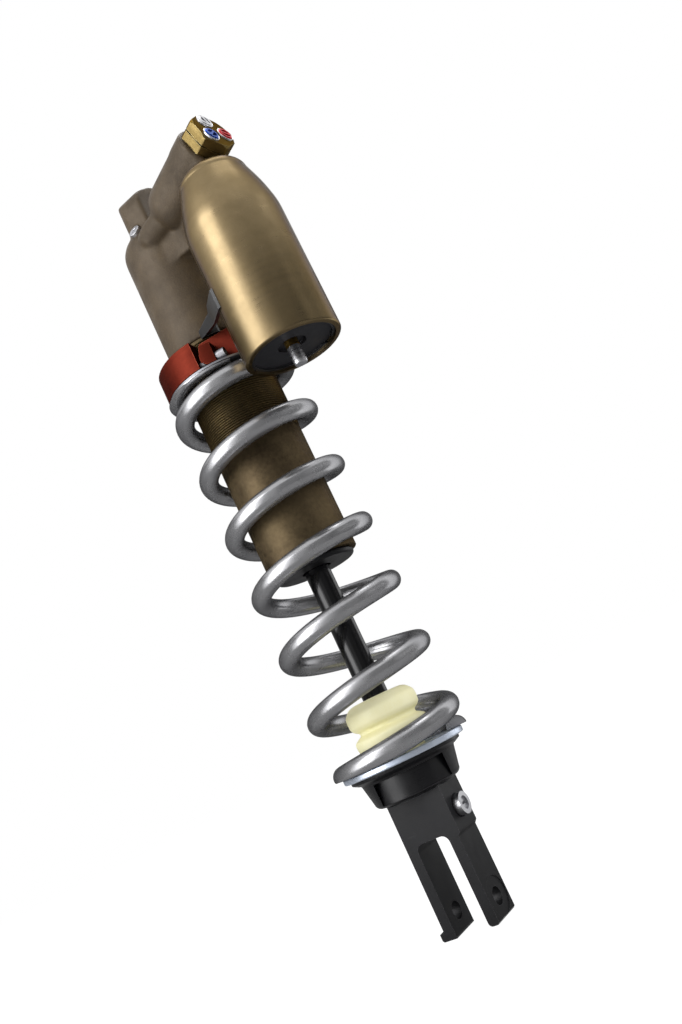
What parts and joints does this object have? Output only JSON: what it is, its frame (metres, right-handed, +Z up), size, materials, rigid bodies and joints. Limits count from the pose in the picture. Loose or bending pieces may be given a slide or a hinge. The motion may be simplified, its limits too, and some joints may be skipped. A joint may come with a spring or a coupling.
{
  "type": "motorcycle rear shock absorber",
  "caption": "Motorcycle rear shock absorber: coil spring over a sliding damper rod, bearing eye above, clevis below, side gas reservoir and a hexagonal damping adjuster.",
  "frame": {"origin": "centre of the upper eye's bolt bore, with the damper fully extended", "axes": "+X along both bolts, towards the adjuster's side; +Z up the damper's axis, from the lower bolt towards the upper one; -Y is the side on which the gas reservoir is offset"},
  "size_m": [0.1431, 0.1086, 0.504],
  "materials": {
    "cast_coating": "matte brown-grey casting",
    "bronze_satin": "satin bronze anodising",
    "dark_bronze": "mottled dark anodising",
    "olive_gold": "brushed gold-olive anodising",
    "orange_anodised": "satin orange-red anodising",
    "blue_anodised": "satin anodising",
    "red_anodised": "satin anodising",
    "plain_alloy": "machined",
    "black_anodised": "satin black anodising",
    "charcoal_alloy": "satin charcoal anodising",
    "spring_coat": "satin silver-grey coating",
    "zinc_steel": "bright bluish zinc",
    "steel": "machined",
    "black_steel": "black oxide",
    "polished_steel": "polished",
    "shaft_coat": "glossy black hard coating",
    "brass": "plain",
    "seal_rubber": "matte",
    "bump_foam": "matte pale yellow",
    "bearing_lining": "smooth low-friction lining"
  },
  "bodies": {
    "damper_body": {"head_casting": "cast_coating", "damper_tube": "dark_bronze", "reservoir_shell": "bronze_satin", "reservoir_cap": "charcoal_alloy", "reservoir_circlip": "black_steel", "cap_o_ring": "seal_rubber", "gas_bladder": "seal_rubber", "valve_stem": "brass", "valve_cap": "plain_alloy", "reservoir_stay": "black_steel", "adjuster_body": "olive_gold", "adjuster_piston": "brass", "adjuster_shims": "steel", "adjuster_o_ring": "seal_rubber", "bleed_screw": "steel", "bearing_race": "steel", "bearing_circlips": "black_steel", "eye_seals": "seal_rubber", "coil_spring": "spring_coat", "seal_head": "plain_alloy", "seal_head_o_ring": "seal_rubber", "seal_circlip": "black_steel", "guide_bush": "bearing_lining", "oil_seal": "seal_rubber", "dust_wiper": "seal_rubber", "end_cap": "black_anodised", "top_out_rubber": "seal_rubber"},
    "eye_bearing": {"eye_ball": "polished_steel", "eye_collars": "steel"},
    "preload_washer": {"thrust_washer": "steel"},
    "preload_collar": {"preload_ring": "orange_anodised", "clamp_bolt": "steel"},
    "piston_slide": {"piston_band": "bearing_lining"},
    "rod": {"shaft": "shaft_coat", "piston": "plain_alloy", "piston_nut": "steel", "compression_shims": "steel", "rebound_shims": "steel", "stop_washer": "steel", "bump_rubber": "bump_foam", "lower_washer": "zinc_steel", "spring_seat": "black_anodised", "clevis": "black_anodised", "rebound_o_ring": "seal_rubber"},
    "rebound_adjuster": {"rebound_screw": "plain_alloy"},
    "push_rod": {"rebound_push_rod": "steel"},
    "silver_dial": {"dial_silver": "plain_alloy"},
    "blue_dial": {"dial_blue": "blue_anodised"},
    "red_dial": {"dial_red": "red_anodised"},
    "needle": {"adjuster_needle": "steel"},
    "gas_valve_pin": {"valve_pin": "brass"}
  },
  "joints": [
    {"name": "eye_turn", "type": "hinge", "parent": "damper_body", "child": "eye_bearing", "pos_m": [0, 0, 0], "axis": [1, 0, 0], "continuous": true},
    {"name": "preload_slide", "type": "slide", "parent": "damper_body", "child": "preload_washer", "axis": [0, 0, 1], "range_m": [-0.012, 0]},
    {"name": "preload_turn", "type": "hinge", "parent": "preload_washer", "child": "preload_collar", "pos_m": [0, 0, -0.118], "axis": [0, 0, 1], "range_deg": [-2880, 0]},
    {"name": "shaft_slide", "type": "slide", "parent": "damper_body", "child": "piston_slide", "axis": [0, 0, 1], "range_m": [0, 0.105], "stiffness_N_per_m": 50000, "deforming": ["coil_spring", "bump_rubber"]},
    {"name": "shaft_turn", "type": "hinge", "parent": "piston_slide", "child": "rod", "pos_m": [0, 0, -0.4], "axis": [0, 0, 1], "continuous": true},
    {"name": "rebound_turn", "type": "hinge", "parent": "rod", "child": "rebound_adjuster", "pos_m": [0.02, 0, -0.4205], "axis": [-1, 0, 0], "range_deg": [0, 540]},
    {"name": "push_rod_slide", "type": "slide", "parent": "rod", "child": "push_rod", "axis": [0, 0, 1], "range_m": [0, 0.0015]},
    {"name": "silver_dial_turn", "type": "hinge", "parent": "damper_body", "child": "silver_dial", "pos_m": [0.08219, -0.03683, 0.0003], "axis": [-0.9546, 0.2012, -0.2198], "range_deg": [0, 720]},
    {"name": "blue_dial_turn", "type": "hinge", "parent": "damper_body", "child": "blue_dial", "pos_m": [0.08428, -0.04084, -0.01243], "axis": [-0.9546, 0.2012, -0.2198], "range_deg": [0, 720]},
    {"name": "red_dial_turn", "type": "hinge", "parent": "damper_body", "child": "red_dial", "pos_m": [0.08622, -0.02791, -0.00902], "axis": [-0.9546, 0.2012, -0.2198], "range_deg": [0, 720]},
    {"name": "needle_slide", "type": "slide", "parent": "damper_body", "child": "needle", "axis": [-0.9546, 0.2012, -0.2198], "range_m": [0, 0.0009]},
    {"name": "valve_pin_slide", "type": "slide", "parent": "damper_body", "child": "gas_valve_pin", "axis": [0, 0, 1], "range_m": [0, 0.0012], "stiffness_N_per_m": 400}
  ],
  "couplings": [
    {"joint": "preload_slide", "follows": "preload_turn", "m_per_rad": 0.00023873},
    {"joint": "push_rod_slide", "follows": "rebound_turn", "m_per_rad": 0.00015914},
    {"joint": "needle_slide", "follows": "blue_dial_turn", "m_per_rad": 0.000071613}
  ]
}
